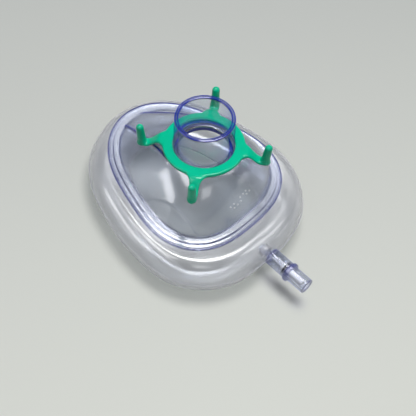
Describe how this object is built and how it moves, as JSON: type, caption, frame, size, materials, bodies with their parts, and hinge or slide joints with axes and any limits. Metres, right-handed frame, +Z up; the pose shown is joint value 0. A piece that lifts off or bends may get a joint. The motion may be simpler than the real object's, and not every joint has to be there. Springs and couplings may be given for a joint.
{
  "type": "bag valve mask face mask",
  "caption": "Clear anatomical resuscitation face mask with air cushion rim, leaning round connector, turning hook ring and sprung inflation check valve.",
  "frame": {"origin": "on the table plane that the cushion rests on, under the middle of the bounding box", "axes": "+Z up out of the connector side, +Y towards the nose end, -Y towards the inflation valve; the connector leans 8.4 degrees from +Z towards +Y"},
  "size_m": [0.0848, 0.1164, 0.0651],
  "materials": {
    "clear_shell": "clear moulded PVC, glossy",
    "cushion_film": "clear soft PVC film, glossy",
    "green_plastic": "emerald moulded plastic, semi-gloss",
    "clear_valve": "clear rigid plastic, glossy",
    "white_plastic": "white moulded plastic",
    "black_rubber": "black rubber seal",
    "spring_steel": "bright stainless spring wire"
  },
  "bodies": {
    "mask": {"dome_shell": "clear_shell", "air_cushion": "cushion_film", "cushion_port": "cushion_film", "valve_barrel": "clear_valve", "valve_port": "clear_valve", "valve_spring": "spring_steel"},
    "hooks": {"hook_ring": "green_plastic"},
    "plunger": {"valve_plunger": "white_plastic", "valve_seal": "black_rubber"}
  },
  "joints": [
    {"name": "hook_ring_turn", "type": "hinge", "parent": "mask", "child": "hooks", "pos_m": [0, 0.00925, 0.047], "axis": [0, 0.1461, 0.9893], "continuous": true},
    {"name": "plunger_press", "type": "slide", "parent": "mask", "child": "plunger", "axis": [0, 1, 0], "range_m": [0, 0.0012], "stiffness_N_per_m": 900, "springref_m": -0.0008, "deforming": ["valve_spring"]}
  ]
}
